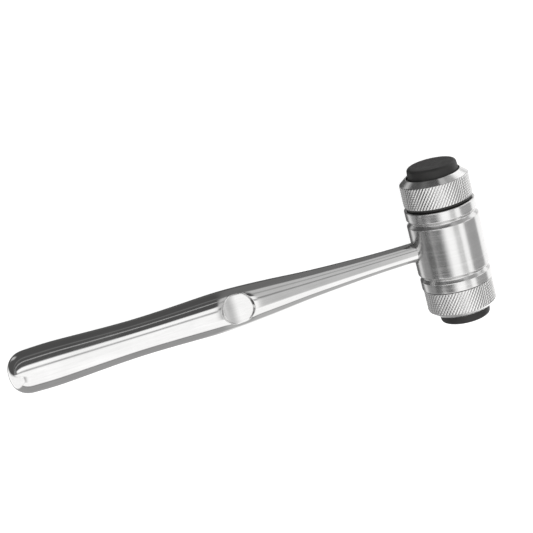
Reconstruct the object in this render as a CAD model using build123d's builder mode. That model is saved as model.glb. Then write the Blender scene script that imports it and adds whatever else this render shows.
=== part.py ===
from build123d import *
import os
from math import asin, cos, radians, sin

# A two-faced hand hammer, lying on its side. The handle runs along X with the head at +X, the head's
# own axis runs along Y, and +Z is up. Each end of the head carries a rubber face pad, held on by a
# knurled collar that screws over a threaded spigot. All sizes are millimetres.

# ---------------------------------------------------------------- driving dimensions
# Head barrel, measured along the head axis from its middle
barrel_r = 14.2
land_r = 13.95              # ring between each groove and the collar
shoulder_y = 16.35          # end of the land, where the spigot begins
groove_y = 11.25            # middle of the V groove
groove_half = 1.35
groove_r = 12.9
groove_edge_fillet = 0.5
groove_root_fillet = 0.35
shoulder_fillet = 0.4

# Threaded spigot, drawn as a plain cylinder at the thread's outside diameter
thread_pitch = 1.0
spigot_r = 11.9
relief_r = 11.6             # undercut beside the shoulder, where the seal ring sits
relief_width = 1.5
spigot_end_y = 22.6
spigot_chamfer = 0.5

# Collar, measured from its open end
collar_r = 13.6
collar_gap = 0.3            # collar to shoulder when it is screwed tight
collar_body = 8.65          # knurled band
collar_cone = 2.2           # smooth cone from the knurl to the lip
lip_r = 10.9
opening_r = 10.55
thread_bore_r = 11.98
seal_bore_r = 13.1          # skirt that closes over the seal ring
seal_bore_depth = 1.15
edge_break = 0.25

# Face pad
flange_r = 11.7
flange_thick = 2.5
pad_play = 0.1
boss_root_r = 10.15
boss_end_r = 9.7
pad_stand_out = 3.65        # beyond the collar's lip
pad_edge_fillet = 1.2

# Seal ring
seal_section_r = 0.65
seal_major_r = relief_r + seal_section_r + 0.05

# The left collar rests one turn short of tight, and the right one is tight
backed_off = {"left": 1.0 * thread_pitch, "right": 0.0}
outward = {"left": 1, "right": -1}

# Handle, as (distance from the head axis, outside radius)
handle_stations = [
    (9.6, 3.9), (22, 3.95), (34, 4.28), (46, 4.88), (58, 5.6), (70, 6.65), (81, 7.45), (93, 7.9),
    (104, 7.65), (115, 7.33), (126, 7.22), (138, 7.55), (150, 8.1), (161, 8.46), (168.5, 8.3),
]
wall = 1.1
dome_length = 8.1
dome_fullness = 0.735       # 0.707 would be an ellipse, and more is squarer
cap_plug_length = 6.0
fit_gap = 0.03              # between pieces that are pushed together and brazed

# Thumb dish, pressed into the handle and turned a little about the handle's own axis
dish_s = 86.7
dish_clock = 9.0            # degrees from +Z towards +Y
dish_floor = 4.85           # height of its lowest point above the handle axis
dish_floor_rim = 5.35
dish_floor_r = 5.8
dish_r = 6.35
dish_rim_height = 7.2
dish_top = 10.0

# Stud that joins the hollow handle to the head
stud_thread_r = 2.5
stud_tip_s = -3.0
stud_root_s = 36.0
stud_hole_spare = 1.2
stud_chamfer = 0.4

# ---------------------------------------------------------------- worked-out places
neck_s, neck_r = handle_stations[0]
tail_s, tail_r = handle_stations[-1]
handle_length = tail_s + dome_length

# The barrel and the tail both touch the ground
tilt = asin((barrel_r - tail_r) / tail_s)

head_x = (handle_length * cos(tilt) - barrel_r) / 2
head_y = (backed_off["right"] - backed_off["left"]) / 2
head_centre = (head_x, head_y, barrel_r)

head_plane = Plane(origin=head_centre, x_dir=(1, 0, 0), z_dir=(0, 0, 1))
head_axis = Axis(head_centre, (0, 1, 0))
handle_dir = (cos(tilt), 0, sin(tilt))
handle_plane = Plane(origin=head_centre, x_dir=handle_dir, z_dir=(0, -1, 0))
handle_axis = Axis(head_centre, handle_dir)

# The dish is cut along its own axis, which crosses the handle's axis at a right angle
clock = radians(dish_clock)
dish_dir = Vector(-sin(tilt) * cos(clock), sin(clock), cos(tilt) * cos(clock))
dish_centre = handle_plane.from_local_coords(Vector(-dish_s, 0, 0))
dish_plane = Plane(origin=dish_centre, x_dir=handle_dir, z_dir=Vector(*handle_dir).cross(dish_dir))
dish_axis = Axis(dish_centre, dish_dir)

# The plug and the stud fit inside the shell
cap_plug_r = tail_r - wall - fit_gap
stud_root_r = neck_r - wall - fit_gap

os.makedirs("parts", exist_ok=True)


def save(name, label):
    """Label a finished piece and write it as its own STEP file."""
    name.part.label = label
    export_step(name.part, f"parts/{label}.step")


# ---------------------------------------------------------------- head barrel
with BuildPart() as head_barrel:
    with BuildSketch(head_plane) as barrel_profile:
        with BuildLine():
            Polyline(
                (0, 0),
                (barrel_r, 0),
                (barrel_r, groove_y - groove_half),
                (groove_r, groove_y),
                (land_r, groove_y + groove_half),
                (land_r, shoulder_y),
                (relief_r, shoulder_y),
                (relief_r, shoulder_y + relief_width),
                (spigot_r, shoulder_y + relief_width),
                (spigot_r, spigot_end_y),
                (0, spigot_end_y),
                close=True,
            )
        make_face()
        corners = barrel_profile.vertices()
        for radius, x, y in (
            (groove_edge_fillet, barrel_r, groove_y - groove_half),
            (groove_root_fillet, groove_r, groove_y),
            (groove_edge_fillet, land_r, groove_y + groove_half),
            (shoulder_fillet, land_r, shoulder_y),
        ):
            fillet(corners.sort_by_distance((x, y, 0))[0], radius)
        chamfer(corners.sort_by_distance((spigot_r, spigot_end_y, 0))[0], spigot_chamfer)
        mirror(about=Plane.XZ)
    revolve(axis=head_axis)
    # Radial seat for the handle's neck, and the tapped hole beyond it for the stud
    with BuildSketch(handle_plane):
        with BuildLine():
            Polyline(
                (-2 * barrel_r, 0),
                (-2 * barrel_r, neck_r + fit_gap),
                (-neck_s + fit_gap, neck_r + fit_gap),
                (-neck_s + fit_gap, stud_thread_r + fit_gap),
                (-stud_tip_s + stud_hole_spare, stud_thread_r + fit_gap),
                (-stud_tip_s + stud_hole_spare + stud_thread_r, 0),
                close=True,
            )
        make_face()
    revolve(axis=handle_axis, mode=Mode.SUBTRACT)
save(head_barrel, "head_barrel")

# ---------------------------------------------------------------- collars, pads and seal rings
for side, out in outward.items():
    # Local y runs outward along the head axis, from the collar's open end
    base_y = head_y + out * (shoulder_y + collar_gap + backed_off[side])
    collar_plane = Plane(origin=(head_x, base_y, barrel_r), x_dir=(1, 0, 0), z_dir=(0, 0, out))

    with BuildPart() as collar:
        with BuildSketch(collar_plane) as collar_profile:
            with BuildLine():
                Polyline(
                    (seal_bore_r, 0),
                    (collar_r, 0),
                    (collar_r, collar_body),
                    (lip_r, collar_body + collar_cone),
                    (opening_r, collar_body + collar_cone),
                    (opening_r, collar_body),
                    (thread_bore_r, collar_body),
                    (thread_bore_r, seal_bore_depth),
                    (seal_bore_r, seal_bore_depth),
                    close=True,
                )
            make_face()
            chamfer(collar_profile.vertices().sort_by_distance((collar_r, 0, 0))[0], edge_break)
        revolve(axis=head_axis)
    save(collar, f"{side}_collar")

    with BuildPart() as face_pad:
        flange_front = collar_body - pad_play
        pad_face = collar_body + collar_cone + pad_stand_out
        with BuildSketch(collar_plane) as pad_profile:
            with BuildLine():
                Polyline(
                    (0, flange_front - flange_thick),
                    (flange_r, flange_front - flange_thick),
                    (flange_r, flange_front),
                    (boss_root_r, flange_front),
                    (boss_end_r, pad_face),
                    (0, pad_face),
                    close=True,
                )
            make_face()
            fillet(pad_profile.vertices().sort_by_distance((boss_end_r, pad_face, 0))[0], pad_edge_fillet)
        revolve(axis=head_axis)
    save(face_pad, f"{side}_face_pad")

    seal_y = head_y + out * (shoulder_y + seal_section_r + fit_gap)
    with BuildPart() as seal_ring:
        with BuildSketch(Plane(origin=(head_x, seal_y, barrel_r), x_dir=(1, 0, 0), z_dir=(0, 0, 1))):
            with Locations((seal_major_r, 0)):
                Circle(seal_section_r)
        revolve(axis=head_axis)
    save(seal_ring, f"{side}_seal_ring")


# ---------------------------------------------------------------- handle
# The outside and the cavity share one outline, the cavity drawn one wall thickness in
layers = []
for inset in (0, wall):
    with BuildPart() as layer:
        with BuildSketch(handle_plane):
            with BuildLine():
                outline = Spline([(-s, r - inset) for s, r in handle_stations])
                Polyline(outline @ 1, (-tail_s, 0), (-neck_s, 0), outline @ 0)
            make_face()
        revolve(axis=handle_axis)
        with BuildSketch(dish_plane):
            with BuildLine():
                floor = ThreePointArc(
                    (-dish_floor_r - inset, dish_floor_rim - inset),
                    (0, dish_floor - inset),
                    (dish_floor_r + inset, dish_floor_rim - inset),
                )
                Polyline(
                    floor @ 0,
                    (-dish_r - inset, dish_rim_height),
                    (-dish_r - inset, dish_top),
                    (dish_r + inset, dish_top),
                    (dish_r + inset, dish_rim_height),
                    floor @ 1,
                )
            make_face()
            split(bisect_by=Plane.YZ)
        revolve(axis=dish_axis, mode=Mode.SUBTRACT)
    layers.append(layer.part)
outside, cavity = layers

with BuildPart() as handle_shell:
    add(outside)
    add(cavity, mode=Mode.SUBTRACT)
save(handle_shell, "handle_shell")

# Domed cap with a plug that fits inside the tail of the shell
with BuildPart() as tail_cap:
    with BuildSketch(handle_plane):
        with BuildLine():
            dome = Spline(
                (-tail_s, tail_r),
                (-tail_s - dome_fullness * dome_length, dome_fullness * tail_r),
                (-tail_s - dome_length, 0),
                tangents=((-1, 0), (0, -1)),
            )
            Polyline(
                dome @ 1,
                (-tail_s + cap_plug_length, 0),
                (-tail_s + cap_plug_length, cap_plug_r),
                (-tail_s, cap_plug_r),
                dome @ 0,
            )
        make_face()
    revolve(axis=handle_axis)
save(tail_cap, "tail_cap")

# Stud: the plain root is brazed inside the neck and the thin end screws into the head
with BuildPart() as neck_stud:
    with BuildSketch(handle_plane) as stud_profile:
        with BuildLine():
            Polyline(
                (-stud_root_s, 0),
                (-stud_root_s, stud_root_r),
                (-neck_s, stud_root_r),
                (-neck_s, stud_thread_r),
                (-stud_tip_s, stud_thread_r),
                (-stud_tip_s, 0),
                close=True,
            )
        make_face()
        for x, y in ((-stud_root_s, stud_root_r), (-stud_tip_s, stud_thread_r)):
            chamfer(stud_profile.vertices().sort_by_distance((x, y, 0))[0], stud_chamfer)
    revolve(axis=handle_axis)
save(neck_stud, "neck_stud")
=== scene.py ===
from math import asin, cos, pi, radians, sin, tan

import bmesh
import bpy
import numpy as np
from mathutils import Matrix, Vector


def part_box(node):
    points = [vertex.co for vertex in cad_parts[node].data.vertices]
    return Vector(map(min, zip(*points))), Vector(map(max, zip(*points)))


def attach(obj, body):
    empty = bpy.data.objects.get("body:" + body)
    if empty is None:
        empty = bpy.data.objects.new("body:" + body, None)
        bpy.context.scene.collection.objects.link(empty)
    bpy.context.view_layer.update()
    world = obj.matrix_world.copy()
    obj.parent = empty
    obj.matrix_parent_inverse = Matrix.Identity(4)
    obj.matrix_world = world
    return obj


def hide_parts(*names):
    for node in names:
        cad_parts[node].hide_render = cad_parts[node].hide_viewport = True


# The looks of a two-faced hand hammer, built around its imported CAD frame. Shapes are worked out in
# millimetres from the head's centre and scaled to metres as each mesh is made.

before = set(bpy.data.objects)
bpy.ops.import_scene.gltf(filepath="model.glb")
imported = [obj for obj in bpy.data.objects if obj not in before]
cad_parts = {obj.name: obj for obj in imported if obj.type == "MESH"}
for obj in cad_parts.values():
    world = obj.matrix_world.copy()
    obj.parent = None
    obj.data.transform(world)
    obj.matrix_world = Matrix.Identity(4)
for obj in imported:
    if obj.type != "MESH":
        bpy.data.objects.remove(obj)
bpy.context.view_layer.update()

MM = 0.001

# ---------------------------------------------------------------- sizes in millimetres, as in the CAD
LAND_R = 13.95
SHOULDER_Y = 16.35
GROOVE_Y = 11.25
GROOVE_HALF = 1.35
GROOVE_R = 12.9
GROOVE_EDGE_FILLET = 0.5
GROOVE_ROOT_FILLET = 0.35
SHOULDER_FILLET = 0.4
THREAD_PITCH = 1.0
SPIGOT_R = 11.9
SPIGOT_CHAMFER = 0.5
RELIEF_R = 11.6
RELIEF_WIDTH = 1.5
SPIGOT_END_Y = 22.6

COLLAR_BODY = 8.65
COLLAR_CONE = 2.2
LIP_R = 10.9
OPENING_R = 10.55
THREAD_BORE_R = 11.98
SEAL_BORE_R = 13.1
SEAL_BORE_DEPTH = 1.15
COLLAR_CHAMFER = 0.25

FLANGE_R = 11.7
FLANGE_THICK = 2.5
BOSS_ROOT_R = 10.15
BOSS_END_R = 9.7
PAD_EDGE_FILLET = 1.2

SEAL_R = 0.65
SEAL_CENTRE_R = RELIEF_R + SEAL_R + 0.05

SEAT_GAP = 0.1
STUD_HOLE_R = 2.53
HOLE_END = 4.2

# Handle, as (distance from the head axis, outside radius)
HANDLE_STATIONS = [
    (9.6, 3.9), (22, 3.95), (34, 4.28), (46, 4.88), (58, 5.6), (70, 6.65), (81, 7.45), (93, 7.9),
    (104, 7.65), (115, 7.33), (126, 7.22), (138, 7.55), (150, 8.1), (161, 8.46), (168.5, 8.3),
]
WALL = 1.1
DOME_LENGTH = 8.1
PLUG_LENGTH = 6.0
FIT_GAP = 0.03

DISH_S = 86.7
DISH_CLOCK = radians(9)
DISH_FLOOR = 4.85
DISH_FLOOR_RIM = 5.35
DISH_FLOOR_R = 5.8
DISH_R = 6.35
DISH_RIM = 7.2

# ---------------------------------------------------------------- shapes of the looks alone
THREAD_DEPTH = 0.5
THREAD_LEAD = 0.3           # plain spigot between the undercut and the thread
THREAD_RUNOUT = 0.6         # plain bore beyond the collar's thread
THREAD_STEP = 0.12          # from ring to ring along the spigot
KNURL_RIDGES = 64
KNURL_DEPTH = 0.3
KNURL_SLOPE = radians(36)
KNURL_SECOND = 0.6          # depth of the second set of grooves, as a share of the first
KNURL_PAST_BODY = 0.35      # how far the knurled rings run on over the cone
PAD_SAG = 0.25              # how far each pad sits off centre in its collar, towards +X
DOME_POWER = 2.25           # 2 would make the dome an ellipse, and more is squarer
TAIL_SLOPE = -0.03          # of the handle's outline where the dome begins
DISH_DROP = 0.2             # how far the rim is drawn down, and how quickly that dies away
DISH_EASE = 1.5
DISH_FLOOR_BLEND = 0.3      # rounding between the dish's floor and wall, and at its rim
DISH_RIM_BLEND = 0.5
DISH_REACH = 9.4            # the rings are close together this far each side of the dish
SHARP = radians(28)         # a profile that turns by more than this keeps a sharp edge

# ---------------------------------------------------------------- places, from the frame
barrel_low, barrel_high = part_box("head_barrel")
HEAD = (barrel_low + barrel_high) / 2 / MM
BARREL_R = (barrel_high.x - barrel_low.x) / 2 / MM
collar_low, collar_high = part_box("left_collar")
COLLAR_R = (collar_high.x - collar_low.x) / 2 / MM
NECK_S, NECK_R = HANDLE_STATIONS[0]
TAIL_S, TAIL_R = HANDLE_STATIONS[-1]
TILT = asin((BARREL_R - TAIL_R) / TAIL_S)
HANDLE_DIR = Vector((cos(TILT), 0, sin(TILT)))
HANDLE_UP = Vector((-sin(TILT), 0, cos(TILT)))
OUTWARD = {"left": Vector((0, 1, 0)), "right": Vector((0, -1, 0))}


def outer_span(node, side):
    """Where a node of one side starts and ends, measured outward from the head's centre."""
    ends = sorted(OUTWARD[side].dot(corner / MM - HEAD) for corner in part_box(node))
    return ends[0], ends[1]


# ---------------------------------------------------------------- mesh helpers
def place(along, up):
    """The matrix of a lathe frame at the head's centre, with its axis along +Y and its clock zero at +Z."""
    across = along.cross(up)
    turned = Matrix((across, along, up)).transposed().to_4x4()
    return Matrix.Translation(HEAD * MM) @ turned @ Matrix.Diagonal((MM, MM, MM, 1))


def head_frame(side):
    """The lathe frame of one side of the head, outward along the head's axis."""
    return place(OUTWARD[side], Vector((0, 0, 1)))


HANDLE_FRAME = place(-HANDLE_DIR, HANDLE_UP)


def outline(corners, step):
    """A profile through (radius, along, fillet) corners, with its fillets as arcs and long runs divided."""
    arcs = []
    for i, (radius, along, fillet) in enumerate(corners):
        here = Vector((radius, along))
        if not fillet:
            arcs.append([here])
            continue
        back = (Vector(corners[i - 1][:2]) - here).normalized()
        ahead = (Vector(corners[i + 1][:2]) - here).normalized()
        half = back.angle(ahead) / 2
        centre = here + (back + ahead).normalized() * fillet / sin(half)
        start = here + back * fillet / tan(half) - centre
        end = here + ahead * fillet / tan(half) - centre
        sweep = pi - 2 * half
        pieces = max(4, round(sweep / radians(9)))
        arcs.append([centre + start.slerp(end, k / pieces).normalized() * fillet for k in range(pieces + 1)])
    points = arcs[0]
    for arc in arcs[1:]:
        before = points[-1]
        run = (arc[0] - before).length
        pieces = max(1, int(run / step))
        points += [before.lerp(arc[0], k / pieces) for k in range(1, pieces)]
        points += arc
    return np.array([p[:] for p in points])


def make_piece(name, points, faces, matrix):
    """A mesh object in the row frame, smooth, with its faces turned outward."""
    mesh = bpy.data.meshes.new(name)
    mesh.from_pydata(points.tolist(), [], faces)
    mesh.transform(matrix)
    work = bmesh.new()
    work.from_mesh(mesh)
    bmesh.ops.recalc_face_normals(work, faces=work.faces)
    work.to_mesh(mesh)
    work.free()
    mesh.shade_smooth()
    obj = bpy.data.objects.new(name, mesh)
    bpy.context.scene.collection.objects.link(obj)
    return obj


def mark_sharp_rings(mesh, profile, ring_sizes, closed):
    """Marks the edges that run round a lathed mesh where its profile turns sharply."""
    steps = np.diff(np.vstack([profile[-1:], profile, profile[:1]]), axis=0)
    heading = np.unwrap(np.arctan2(steps[:, 1], steps[:, 0]))
    sharp = np.abs(np.diff(heading)) > SHARP
    if not closed:
        sharp[0] = sharp[-1] = False
    ring_of = np.repeat(np.arange(len(profile)), ring_sizes)
    ends = np.zeros(len(mesh.edges) * 2, np.int32)
    mesh.edges.foreach_get("vertices", ends)
    ends = ring_of[ends.reshape(-1, 2)]
    marked = (ends[:, 0] == ends[:, 1]) & sharp[ends[:, 0]]
    mesh.attributes.new("sharp_edge", "BOOLEAN", "EDGE").data.foreach_set("value", marked)


def lathe(name, profile, turn, matrix, closed=False, relief=None, press=None):
    """Spins a profile of (radius, along) rows about +Y. relief changes the radius of each point, and
    press moves the finished points. Rings where the profile turns sharply stay sharp."""
    radius, along = (np.repeat(profile[:, k : k + 1], len(turn), 1) for k in (0, 1))
    if relief:
        radius = relief(radius, along, turn[None, :])
    grid = np.stack([radius * np.sin(turn), along, radius * np.cos(turn)], -1)
    if press:
        grid = press(grid)
    rings, columns = radius.shape
    pole = profile[:, 0] < 1e-6
    first = np.concatenate([[0], np.cumsum(np.where(pole, 1, columns))])
    index = first[:-1, None] + np.where(pole[:, None], 0, np.arange(columns)[None, :])
    points = np.concatenate([grid[i, : 1 if pole[i] else columns] for i in range(rings)])
    faces = []
    for i in range(rings if closed else rings - 1):
        low, high = index[i], index[(i + 1) % rings]
        for j in range(columns):
            k = (j + 1) % columns
            corners = [low[j], low[k], high[k], high[j]]
            faces.append([int(c) for c in dict.fromkeys(corners)])
    obj = make_piece(name, points, faces, matrix)
    mark_sharp_rings(obj.data, profile, np.where(pole, 1, columns), closed)
    weigh = obj.modifiers.new("weighted normals", "WEIGHTED_NORMAL")
    weigh.keep_sharp = True
    return obj


def even_turn(columns):
    return np.linspace(0, 2 * pi, columns, endpoint=False)


def triangle_wave(x):
    """0 at whole numbers and 1 half way between them."""
    return 1 - np.abs(2 * (x % 1) - 1)


def smooth_min(a, b, blend):
    """The smaller of a and b, with the corner between them rounded over the blend length."""
    h = np.clip(0.5 + 0.5 * (b - a) / blend, 0, 1)
    return b + (a - b) * h - blend * h * (1 - h)


# ---------------------------------------------------------------- node helpers
class Graph:
    """A node tree, with short calls for the nodes that the materials share."""

    def __init__(self, tree):
        self.tree = tree
        tree.nodes.clear()

    def put(self, socket, value):
        if isinstance(value, bpy.types.NodeSocket):
            self.tree.links.new(value, socket)
        else:
            socket.default_value = value

    def add(self, kind, values=None, **settings):
        made = self.tree.nodes.new("ShaderNode" + kind)
        for name, value in settings.items():
            setattr(made, name, value)
        for name, value in (values or {}).items():
            self.put(made.inputs[name], value)
        return made

    def math(self, operation, *values):
        made = self.add("Math", operation=operation)
        for socket, value in zip(made.inputs, values):
            self.put(socket, value)
        return made.outputs[0]

    def ramp(self, value, low, high, to_low=0.0, to_high=1.0):
        """Maps low..high smoothly to to_low..to_high."""
        sizes = {"Value": value, "From Min": low, "From Max": high, "To Min": to_low, "To Max": to_high}
        return self.add("MapRange", sizes, interpolation_type="SMOOTHSTEP").outputs[0]

    def band(self, value, low, high, soft):
        """1 between low and high and 0 outside, with soft edges."""
        rise = self.ramp(value, low - soft, low + soft)
        fall = self.ramp(value, high - soft, high + soft, 1.0, 0.0)
        return self.math("MULTIPLY", rise, fall)

    def noise(self, stretch, detail=3.0, roughness=0.55, turn=(0, 0, 0)):
        """Noise in the object's own frame, with so many features a metre along each axis."""
        where = self.add("TexCoord").outputs["Object"]
        stretched = self.add("Mapping", {"Vector": where, "Scale": stretch, "Rotation": turn})
        sizes = {"Vector": stretched.outputs[0], "Scale": 1.0, "Detail": detail, "Roughness": roughness}
        return self.add("TexNoise", sizes).outputs["Fac"]

    def mix_colour(self, factor, first, second):
        made = self.add("Mix", data_type="RGBA")
        for socket, value in ((made.inputs[0], factor), (made.inputs[6], first), (made.inputs[7], second)):
            self.put(socket, value)
        return made.outputs[2]


def new_material(name):
    material = bpy.data.materials.new(name)
    material.use_nodes = True
    graph = Graph(material.node_tree)
    shader = graph.add("BsdfPrincipled")
    graph.add("OutputMaterial", {"Surface": shader.outputs[0]})
    return material, graph, shader


def grey(value, warmth=0.0):
    return (value * (1 + warmth), value, value * (1 - warmth), 1)


# ---------------------------------------------------------------- materials
def steel(name, marks, turn, tone, rough, bump, blotch=90.0, groove_shade_colour=None, lathed=0.0):
    """Stainless steel with fine tool marks. marks is how many features a metre the marks have along each
    axis, rough the lowest and highest roughness, bump the marks' height; a groove colour paints shade in low
    relief.
    lathed spreads the gloss along the head's axis, across its turning lines."""
    material, graph, shader = new_material(name)
    fine = graph.noise(marks, detail=2.0, roughness=0.7, turn=turn)
    broad = graph.noise(tuple(m * 0.13 for m in marks), detail=2.0, turn=turn)
    cloud = graph.noise((blotch,) * 3, detail=4.0)
    streak = graph.math("MULTIPLY_ADD", broad, 0.5, graph.math("MULTIPLY", fine, 0.5))
    shade = graph.math("MULTIPLY_ADD", cloud, 0.35, graph.math("MULTIPLY", streak, 0.65))
    colour = graph.mix_colour(graph.ramp(shade, 0.3, 0.7), grey(tone * 0.87, 0.006), grey(tone, 0.004))
    # Painted shade: where the knurl's relief is low, the colour turns towards the darker groove colour
    if groove_shade_colour:
        depth = graph.add("Attribute", attribute_name="relief").outputs["Fac"]
        groove_shade_mask = graph.ramp(depth, 0.0, 0.55)
        colour = graph.mix_colour(groove_shade_mask, grey(groove_shade_colour, 0.01), colour)
    roughness = graph.ramp(shade, 0.35, 0.68, *rough)
    raised = graph.add("Bump", {"Height": streak, "Strength": 1.0, "Distance": bump})
    graph.put(shader.inputs["Base Color"], colour)
    graph.put(shader.inputs["Roughness"], roughness)
    graph.put(shader.inputs["Normal"], raised.outputs[0])
    shader.inputs["Metallic"].default_value = 1.0
    if lathed:
        around = graph.add("Tangent", direction_type="RADIAL", axis="Y")
        graph.put(shader.inputs["Tangent"], around.outputs[0])
        shader.inputs["Anisotropic"].default_value = lathed
        shader.inputs["Anisotropic Rotation"].default_value = 0.25
    return material


def rubber(name, tone, gloss):
    """Moulded black rubber: fine grain, faint bloom in patches, and a slight sheen."""
    material, graph, shader = new_material(name)
    grain = graph.noise((5200,) * 3, detail=3.0, roughness=0.6)
    patches = graph.noise((240,) * 3, detail=5.0, roughness=0.6)
    bloom = graph.ramp(patches, 0.42, 0.75)
    specks = graph.ramp(grain, 0.68, 0.8)
    dusty = graph.math("MULTIPLY_ADD", specks, 0.5, bloom)
    colour = graph.mix_colour(dusty, grey(tone, 0.03), grey(tone * 1.5, 0.03))
    roughness = graph.ramp(patches, 0.3, 0.7, gloss, gloss + 0.14)
    raised = graph.add("Bump", {"Height": grain, "Strength": 0.6, "Distance": 0.05 * MM})
    graph.put(shader.inputs["Base Color"], colour)
    graph.put(shader.inputs["Roughness"], roughness)
    graph.put(shader.inputs["Normal"], raised.outputs[0])
    shader.inputs["Specular IOR Level"].default_value = 0.45
    return material


ALONG_HANDLE = (16, 2600, 2600)
AROUND_HEAD = (70, 9000, 70)
NO_TURN = (0, 0, 0)
handle_steel = steel("handle_steel", ALONG_HANDLE, (0, TILT, 0), 0.74, (0.05, 0.13), 0.003 * MM)
barrel_steel = steel("barrel_steel", AROUND_HEAD, NO_TURN, 0.73, (0.19, 0.28), 0.0006 * MM, lathed=0.5)
# The collars get painted shade, grey 0.3, in their knurl grooves
collar_steel = steel("collar_steel", (900,) * 3, NO_TURN, 0.8, (0.14, 0.28), 0.003 * MM, groove_shade_colour=0.3)
stud_steel = steel("stud_steel", (5200, 300, 300), NO_TURN, 0.62, (0.22, 0.36), 0.001 * MM)
pad_rubber = rubber("pad_rubber", 0.017, 0.46)
seal_rubber = rubber("seal_rubber", 0.02, 0.34)


def finish_piece(obj, material, body, slot, *nodes):
    """Gives a piece its material and its CAD body, and hides the CAD nodes that it stands for. slot is not
    used.
    """
    obj.data.materials.append(material)
    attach(obj, body)
    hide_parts(*nodes)


# ---------------------------------------------------------------- head barrel
def thread_relief(start, end, crest, sign):
    """A relief for a right-hand V thread between two places along the axis, fading at both ends. It
    changes only the points at the crest radius, outward for a sign of 1 and inward for -1."""
    def relief(radius, along, turn):
        inside = (along > start) & (along < end) & (np.abs(radius - crest) < 0.01)
        fade = np.clip(np.minimum(along - start, end - along) / (0.4 * THREAD_PITCH), 0, 1)
        wave = triangle_wave(along / THREAD_PITCH - turn / (2 * pi))
        return np.where(inside, radius + sign * THREAD_DEPTH * fade * wave, radius)
    return relief


def thin_straights(points, needed, spacing):
    """Drops points on straight runs down to the spacing, apart from the needed ones."""
    kept = [0]
    for i in range(1, len(points) - 1):
        bend = np.cross(points[i] - points[i - 1], points[i + 1] - points[i])
        far = np.linalg.norm(points[i] - points[kept[-1]]) > spacing
        if needed[i] or abs(bend) > 1e-6 or far:
            kept.append(i)
    return points[kept + [len(points) - 1]]


def cut_away(obj, cutter):
    """Cuts one mesh out of another, ahead of the other's modifiers, and keeps the finished mesh."""
    cut = obj.modifiers.new("seat", "BOOLEAN")
    cut.operation = "DIFFERENCE"
    cut.solver = "EXACT"
    cut.object = cutter
    obj.modifiers.move(1, 0)
    bpy.context.view_layer.update()
    shaped = bpy.data.meshes.new_from_object(obj.evaluated_get(bpy.context.evaluated_depsgraph_get()))
    obj.modifiers.clear()
    obj.data = shaped
    bpy.data.objects.remove(cutter)


def build_barrel():
    relief_end = SHOULDER_Y + RELIEF_WIDTH
    thread_start, thread_end = relief_end + THREAD_LEAD, SPIGOT_END_Y - SPIGOT_CHAMFER
    corner = 0.12
    half = [
        (BARREL_R, 0.5, 0),
        (BARREL_R, GROOVE_Y - GROOVE_HALF, GROOVE_EDGE_FILLET),
        (GROOVE_R, GROOVE_Y, GROOVE_ROOT_FILLET),
        (LAND_R, GROOVE_Y + GROOVE_HALF, GROOVE_EDGE_FILLET),
        (LAND_R, SHOULDER_Y, SHOULDER_FILLET),
        (RELIEF_R, SHOULDER_Y, corner),
        (RELIEF_R, relief_end, corner),
        (SPIGOT_R, thread_start, 0),
        (SPIGOT_R, thread_end, 0),
        (SPIGOT_R - SPIGOT_CHAMFER, SPIGOT_END_Y, 0),
        (0, SPIGOT_END_Y, 0),
    ]
    upper = outline(half, THREAD_STEP)
    threaded = (upper[:, 1] > relief_end) & (np.abs(upper[:, 0] - SPIGOT_R) < 0.01)
    upper = thin_straights(upper, threaded, 1.0)
    lower = (upper * (1, -1))[::-1]
    profile = np.vstack([lower, upper])
    thread = thread_relief(thread_start, thread_end, SPIGOT_R, -1)

    def both_ends(radius, along, turn):
        # The right-hand end is the left one turned half way round about the vertical
        return np.where(along > 0, thread(radius, along, turn), thread(radius, -along, -turn))

    barrel = lathe("head_barrel_turned", profile, even_turn(320), head_frame("left"), relief=both_ends)
    # The neck's seat, with the stud's hole and its drilled point beyond
    cutter_profile = outline([
        (0, -HOLE_END - STUD_HOLE_R, 0),
        (STUD_HOLE_R, -HOLE_END, 0),
        (STUD_HOLE_R, NECK_S - FIT_GAP, 0),
        (NECK_R + SEAT_GAP, NECK_S - FIT_GAP, 0),
        (NECK_R + SEAT_GAP, 2 * BARREL_R, 0),
        (0, 2 * BARREL_R, 0),
    ], 4)
    cutter = lathe("seat_cutter", cutter_profile, even_turn(96), HANDLE_FRAME)
    cutter.modifiers.clear()
    cut_away(barrel, cutter)
    finish_piece(barrel, barrel_steel, "hammer", "polished_steel", "head_barrel")


# ---------------------------------------------------------------- collars
def knurl_height(along, turn):
    """From 0 in the grooves to 1 on the diamonds' points. The second set of grooves is the shallower."""
    around = turn * KNURL_RIDGES / (2 * pi)
    lean = along * tan(KNURL_SLOPE) * KNURL_RIDGES / (2 * pi * COLLAR_R)
    shallow = 1 - KNURL_SECOND * (1 - triangle_wave(around + lean))
    return smooth_min(triangle_wave(around - lean), shallow, 0.12)


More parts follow.
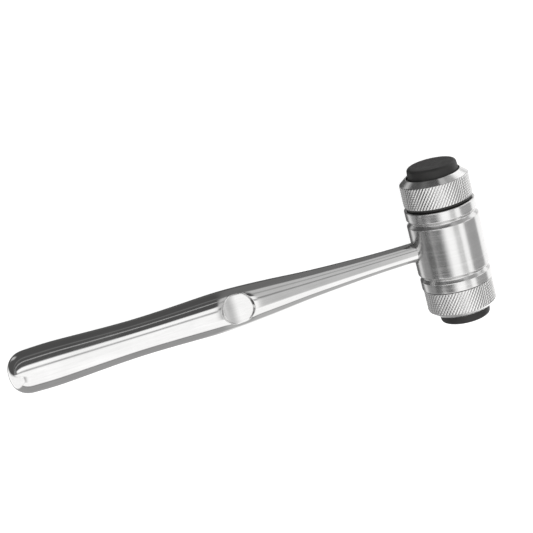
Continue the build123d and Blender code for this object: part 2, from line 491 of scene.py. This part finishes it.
def build_collar(side):
    base, lip = outer_span(f"{side}_collar", side)
    body_end = base + COLLAR_BODY
    knurled_rows = np.linspace(base + 0.05, body_end + KNURL_PAST_BODY, 62)
    matrix = head_frame(side)

    # The smooth blank: a chamfered foot, a plain wall and a cone
    def blank(along):
        foot = COLLAR_R - COLLAR_CHAMFER + (along - base)
        cone = COLLAR_R - (along - body_end) * (COLLAR_R - LIP_R) / COLLAR_CONE
        return np.minimum(np.minimum(foot, COLLAR_R), cone)

    wall = np.stack([blank(knurled_rows), knurled_rows], 1)
    nose = outline([
        (wall[-1, 0], wall[-1, 1], 0),
        (LIP_R, lip, 0.12),
        (OPENING_R, lip, 0.1),
        (OPENING_R, body_end, 0),
        (THREAD_BORE_R, body_end, 0),
    ], 0.4)
    thread_start, thread_end = base + SEAL_BORE_DEPTH, body_end - THREAD_RUNOUT
    rows_down = np.linspace(thread_end, thread_start, 45)
    bore = np.stack([np.full(len(rows_down), THREAD_BORE_R), rows_down], 1)
    foot = outline([
        (SEAL_BORE_R, base + SEAL_BORE_DEPTH, 0),
        (SEAL_BORE_R, base, 0.08),
        (COLLAR_R - COLLAR_CHAMFER, base, 0.06),
        (wall[0, 0], wall[0, 1], 0),
    ], 0.4)
    profile = np.vstack([wall, nose[1:], bore, foot[:-1]])
    inner = thread_relief(thread_start, thread_end, THREAD_BORE_R, 1)

    def relief(radius, along, turn):
        floor = COLLAR_R - KNURL_DEPTH * (1 - knurl_height(along, turn))
        outside = (radius > COLLAR_R - 0.8) & (along > base + 0.02)
        low = np.where(outside, smooth_min(radius, floor, 0.04), radius)
        return inner(low, along, turn)

    collar = lathe(f"{side}_collar_knurled", profile, even_turn(KNURL_RIDGES * 10), matrix, closed=True,
                   relief=relief)
    # How high each point of the knurled wall stands, for the painted shade in its grooves
    mesh = collar.data
    inverse = matrix.inverted()
    local = np.array([(inverse @ v.co)[:] for v in mesh.vertices])
    depth = (COLLAR_R - np.hypot(local[:, 0], local[:, 2])) / KNURL_DEPTH
    height = np.where(local[:, 1] < body_end + 0.3, np.clip(1 - depth, 0, 1), 1)
    mesh.attributes.new("relief", "FLOAT", "POINT").data.foreach_set("value", height.astype(np.float32))
    finish_piece(collar, collar_steel, f"{side}_collar", "knurled_steel", f"{side}_collar")


# ---------------------------------------------------------------- pads and seal rings
def build_pad(side):
    inner, face = outer_span(f"{side}_face_pad", side)
    front = inner + FLANGE_THICK
    profile = outline([
        (0, inner, 0),
        (FLANGE_R, inner, 0.3),
        (FLANGE_R, front, 0.25),
        (BOSS_ROOT_R, front, 0.2),
        (BOSS_END_R, face, PAD_EDGE_FILLET),
        (0, face, 0),
    ], 0.6)
    matrix = Matrix.Translation((PAD_SAG * MM, 0, 0)) @ head_frame(side)
    pad = lathe(f"{side}_face_pad_moulded", profile, even_turn(160), matrix)
    finish_piece(pad, pad_rubber, f"{side}_pad", "pad_rubber", f"{side}_face_pad")


def build_seal(side):
    start, end = outer_span(f"{side}_seal_ring", side)
    around = even_turn(24)
    middle = (start + end) / 2
    profile = np.stack([SEAL_CENTRE_R + SEAL_R * np.cos(around), middle + SEAL_R * np.sin(around)], 1)
    seal = lathe(f"{side}_seal_ring_moulded", profile, even_turn(160), head_frame(side), closed=True)
    finish_piece(seal, seal_rubber, "hammer", "seal_rubber", f"{side}_seal_ring")


# ---------------------------------------------------------------- handle
def spline_through(stations, last_slope):
    """The cubic spline through the stations, free at its first end and with a given slope at its last."""
    xs, ys = np.array(stations, float).T
    n = len(xs)
    gap, rise = np.diff(xs), np.diff(ys)
    rows, right = np.zeros((n, n)), np.zeros(n)
    rows[0, 0] = 1
    rows[-1, -2:] = gap[-1], 2 * gap[-1]
    right[-1] = 6 * (last_slope - rise[-1] / gap[-1])
    for i in range(1, n - 1):
        rows[i, i - 1 : i + 2] = gap[i - 1], 2 * (gap[i - 1] + gap[i]), gap[i]
        right[i] = 6 * (rise[i] / gap[i] - rise[i - 1] / gap[i - 1])
    bend = np.linalg.solve(rows, right)

    def value(x):
        i = np.clip(np.searchsorted(xs, x) - 1, 0, n - 2)
        left, rest = x - xs[i], xs[i + 1] - x
        cubic = (bend[i] * rest**3 + bend[i + 1] * left**3) / (6 * gap[i])
        line = (ys[i] / gap[i] - bend[i] * gap[i] / 6) * rest
        return cubic + line + (ys[i + 1] / gap[i] - bend[i + 1] * gap[i] / 6) * left

    return value


handle_radius = spline_through(HANDLE_STATIONS, TAIL_SLOPE)
DISH_UP = (sin(DISH_CLOCK), cos(DISH_CLOCK))


def press_dish(inset):
    """Pushes the points above the dish down to its floor and walls, along the dish's own axis."""
    def press(grid):
        x, s, z = grid[..., 0], grid[..., 1], grid[..., 2]
        high = x * DISH_UP[0] + z * DISH_UP[1]
        side = x * DISH_UP[1] - z * DISH_UP[0]
        out = np.hypot(s - DISH_S, side)
        ball = (DISH_FLOOR_R**2 + (DISH_FLOOR_RIM - DISH_FLOOR) ** 2) / (2 * (DISH_FLOOR_RIM - DISH_FLOOR))
        floor = DISH_FLOOR + ball - np.sqrt(np.maximum(ball**2 - out**2, 0))
        slope = (DISH_RIM - DISH_FLOOR_RIM) / (DISH_R - DISH_FLOOR_R)
        wall = DISH_FLOOR_RIM + slope * (out - DISH_FLOOR_R - inset)
        bowl = -smooth_min(-(floor - inset), -(wall - inset), DISH_FLOOR_BLEND)
        eased = high - DISH_DROP * np.exp(-np.maximum(out - DISH_R - inset, 0) / DISH_EASE)
        low = np.where(high > 0, smooth_min(eased, bowl, DISH_RIM_BLEND), high)
        low = np.minimum(low, high)
        return np.stack([side * DISH_UP[1] + low * DISH_UP[0], s, low * DISH_UP[1] - side * DISH_UP[0]], -1)
    return press


def build_handle():
    neck = np.arange(NECK_S, DISH_S - DISH_REACH, 1.2)
    dish = np.arange(DISH_S - DISH_REACH, DISH_S + DISH_REACH, 0.15)
    grip = np.linspace(DISH_S + DISH_REACH, TAIL_S, 62)
    outer_s = np.concatenate([neck, dish, grip])
    outer = np.stack([handle_radius(outer_s), outer_s], 1)
    inner_s = np.linspace(TAIL_S, NECK_S, 96)
    inner = np.stack([handle_radius(inner_s) - WALL, inner_s], 1)
    # Columns crowd together towards the dish
    share = np.linspace(-0.5, 0.5, 288, endpoint=False)
    crowd = 0.45
    turn = DISH_CLOCK + 2 * pi * (share - crowd * np.sin(2 * pi * share) / (2 * pi))
    count = len(outer)

    def press(grid):
        return np.concatenate([press_dish(0)(grid[:count]), press_dish(WALL)(grid[count:])])

    shell = lathe("handle_shell_polished", np.vstack([outer, inner]), turn, HANDLE_FRAME, closed=True,
                  press=press)
    finish_piece(shell, handle_steel, "hammer", "satin_steel", "handle_shell")


def build_tail_cap():
    quarter = np.linspace(0, 1, 48)
    # Equal steps of the angle of a superellipse keep the rings even round the dome
    bend = 2 / DOME_POWER
    reach = DOME_LENGTH * np.sin(quarter * pi / 2) ** bend
    radius = TAIL_R * np.cos(quarter * pi / 2) ** bend
    radius = radius + TAIL_SLOPE * reach * (1 - reach / DOME_LENGTH) ** 2
    radius[-1] = 0
    dome = np.stack([radius, TAIL_S + reach], 1)
    plug_r = TAIL_R - WALL - FIT_GAP
    plug = outline([
        (0, TAIL_S - PLUG_LENGTH, 0),
        (plug_r, TAIL_S - PLUG_LENGTH, 0.4),
        (plug_r, TAIL_S, 0),
        (TAIL_R, TAIL_S, 0),
    ], 1.5)
    cap = lathe("tail_cap_domed", np.vstack([plug[:-1], dome]), even_turn(192), HANDLE_FRAME)
    finish_piece(cap, handle_steel, "hammer", "satin_steel", "tail_cap")


build_barrel()
for side in OUTWARD:
    build_collar(side)
    build_pad(side)
    build_seal(side)
build_handle()
build_tail_cap()
stud_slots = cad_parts["neck_stud"].data.materials
stud_slots.clear()
stud_slots.append(stud_steel)


# ---------------------------------------------------------------- studio
def build_floor():
    """A wide white table, lit a little from within so that shadows on it stay faint."""
    bpy.ops.mesh.primitive_circle_add(vertices=96, radius=6.0, fill_type="NGON", location=(0, 0, 0))
    floor = bpy.context.object
    floor.name = "floor"
    material = bpy.data.materials.new("floor_white")
    material.use_nodes = True
    graph = Graph(material.node_tree)
    matt = graph.add("BsdfDiffuse", {"Color": grey(0.5)})
    glow = graph.add("Emission", {"Color": grey(1.0), "Strength": 0.82})
    both = graph.add("AddShader")
    graph.put(both.inputs[0], matt.outputs[0])
    graph.put(both.inputs[1], glow.outputs[0])
    graph.add("OutputMaterial", {"Surface": both.outputs[0]})
    floor.data.materials.append(material)
    floor.visible_glossy = False


def build_studio():
    """White and grey cards all round the hammer, painted on a world one over another. roll is the angle
    about the X axis from straight up, towards +Y, and lean is the sine of the angle towards +X."""
    world = bpy.data.worlds.new("studio")
    bpy.context.scene.world = world
    world.use_nodes = True
    graph = Graph(world.node_tree)
    direction = graph.add("TexCoord").outputs["Generated"]
    parts = graph.add("SeparateXYZ", {"Vector": direction})
    lean, across, up = parts.outputs
    roll = graph.math("ARCTAN2", across, up)
    all_round = (-1.2, 1.2)

    # Each card: its lean and roll ranges, how soft they are, and how bright it is
    cards = [
        (all_round, (-200, -74), 0.05, 3, 0.42),             # grey side towards -Y
        ((0.13, 1.2), (-200, -74), 0.05, 4, 0.6),
        (all_round, (-70, 48), 0.05, 4, 1.35),               # overhead
        ((-1.2, 0.14), (20, 28), 0.04, 5, 0.42),             # grey stripe in it
        ((-1.2, 0.14), (75, 78), 0.04, 2.5, 0.75),           # edge lights towards +Y
        ((-1.2, 0.14), (95, 102), 0.04, 4, 0.2),
        ((0.14, 0.36), (-26, 50), 0.1, 6, 0.7),              # grey end of the overhead card
        ((0.14, 0.36), (44, 92), 0.03, 6, 0.68),
        ((0.14, 0.36), (26, 36), 0.03, 5, 0.34),
        ((0.14, 0.36), (60, 68), 0.03, 5, 0.42),
        ((0.14, 0.36), (90, 160), 0.03, 6, 0.2),
        ((0.36, 1.2), (-112, 20), 0.04, 8, 0.46),            # grey wall towards +X
        ((0.42, 0.68), (-130, 30), 0.05, 6, 1.35),           # white strip on it
        ((0.36, 1.2), (20, 98), 0.05, 8, 0.45),
        ((0.74, 1.2), (2, 75), 0.05, 8, 1.3),                # bright end of it
        ((0.66, 0.88), (-105, -55), 0.04, 8, 0.18),          # dark end of the grey wall
        ((-1.2, -0.88), (20, 75), 0.04, 8, 0.25),
        ((0.36, 1.2), (100, 150), 0.05, 6, 1.3),             # low lamp towards +X and +Y
        ((0.12, 1.2), (155, 200), 0.05, 8, 1.0),             # white table under the head
        ((0.12, 1.2), (-200, -118), 0.05, 8, 1.3),
        ((0.05, 0.28), (150, 200), 0.03, 5, 0.12),           # dark gap between the table and the edge lights
        ((0.05, 0.28), (-200, -170), 0.03, 3, 0.12),
        ((-0.5, -0.32), (135, 163), 0.05, 8, 0.7),
        ((-1.2, -0.42), (-42, -6), 0.2, 5, 0.13),            # dark wall towards -X
        ((-1.2, -0.86), (-150, -30), 0.03, 12, 0.15),
        ((-1.2, -0.86), (-170, -105), 0.03, 14, 0.34),
        ((-0.72, -0.5), (-175, -148), 0.05, 5, 0.95),
        ((-0.42, 0.0), (-200, -152), 0.05, 4, 0.15),
    ]
    light = 0.1                                              # between the cards
    for lean_range, roll_range, soft_lean, soft_roll, strength in cards:
        wide = graph.band(lean, *lean_range, soft_lean)
        long = graph.band(roll, *(radians(v) for v in roll_range), radians(soft_roll))
        cover = graph.math("MULTIPLY", wide, long)
        light = graph.math("MULTIPLY_ADD", cover, graph.math("SUBTRACT", strength, light), light)
    seen = graph.add("LightPath").outputs["Is Camera Ray"]
    # The camera itself sees a plain pale backdrop
    hidden = graph.math("MULTIPLY", graph.math("SUBTRACT", 1.0, seen), light)
    back = graph.add("Background", {"Color": grey(1.0), "Strength": graph.math("ADD", seen, hidden)})
    graph.add("OutputWorld", {"Surface": back.outputs[0]})


def build_tail_card():
    """A small white card beyond the tail, fading at its edges, seen only in the reflections on its dome."""
    tail_low, tail_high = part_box("tail_cap")
    beyond, width, height = 0.0105, 0.024, 0.07
    spot = (tail_low.x - beyond, HEAD.y * MM - 0.009, tail_high.z - 0.004)
    bpy.ops.mesh.primitive_plane_add(size=1, location=spot, rotation=(0, pi / 2, 0))
    card = bpy.context.object
    card.name = "tail_card"
    card.scale = (height, width, 1)
    material = bpy.data.materials.new("card_white")
    material.use_nodes = True
    graph = Graph(material.node_tree)
    glow = graph.add("Emission", {"Color": grey(1.0), "Strength": 1.3})
    clear = graph.add("BsdfTransparent", {"Color": grey(1.0)})
    across = graph.add("SeparateXYZ", {"Vector": graph.add("TexCoord").outputs["Generated"]})
    inside = [graph.band(across.outputs[k], 0.08, 0.92, 0.08) for k in (0, 1)]
    cover = graph.add("MixShader", {"Fac": graph.math("MULTIPLY", *inside)})
    graph.put(cover.inputs[1], clear.outputs[0])
    graph.put(cover.inputs[2], glow.outputs[0])
    graph.add("OutputMaterial", {"Surface": cover.outputs[0]})
    card.data.materials.append(material)
    card.visible_camera = False
    card.visible_diffuse = False
    card.visible_shadow = False
    card.visible_transmission = False


def build_camera():
    """Above the handle and a little beyond its left side, with the head to the right of the view."""
    # The direction from the hammer to the camera, and the view's up
    toward = Vector((-0.1603, 0.2775, 0.9473)).normalized()
    up = Vector((0.2978, 0.9285, -0.2216))
    right = up.cross(toward).normalized()
    up = toward.cross(right)
    camera = bpy.data.objects.new("camera", bpy.data.cameras.new("camera"))
    bpy.context.scene.collection.objects.link(camera)
    camera.data.lens = 118.0
    camera.data.sensor_width = 36.0
    camera.data.clip_start = 0.01
    distance, head_right, head_up = 679.0, 70.64, 9.53
    spot = (HEAD + toward * distance - right * head_right - up * head_up) * MM
    turned = Matrix((right, up, toward)).transposed().to_4x4()
    camera.matrix_world = Matrix.Translation(spot) @ turned
    bpy.context.scene.camera = camera


build_floor()
build_studio()
build_tail_card()
build_camera()
bpy.context.scene.view_settings.view_transform = "Standard"
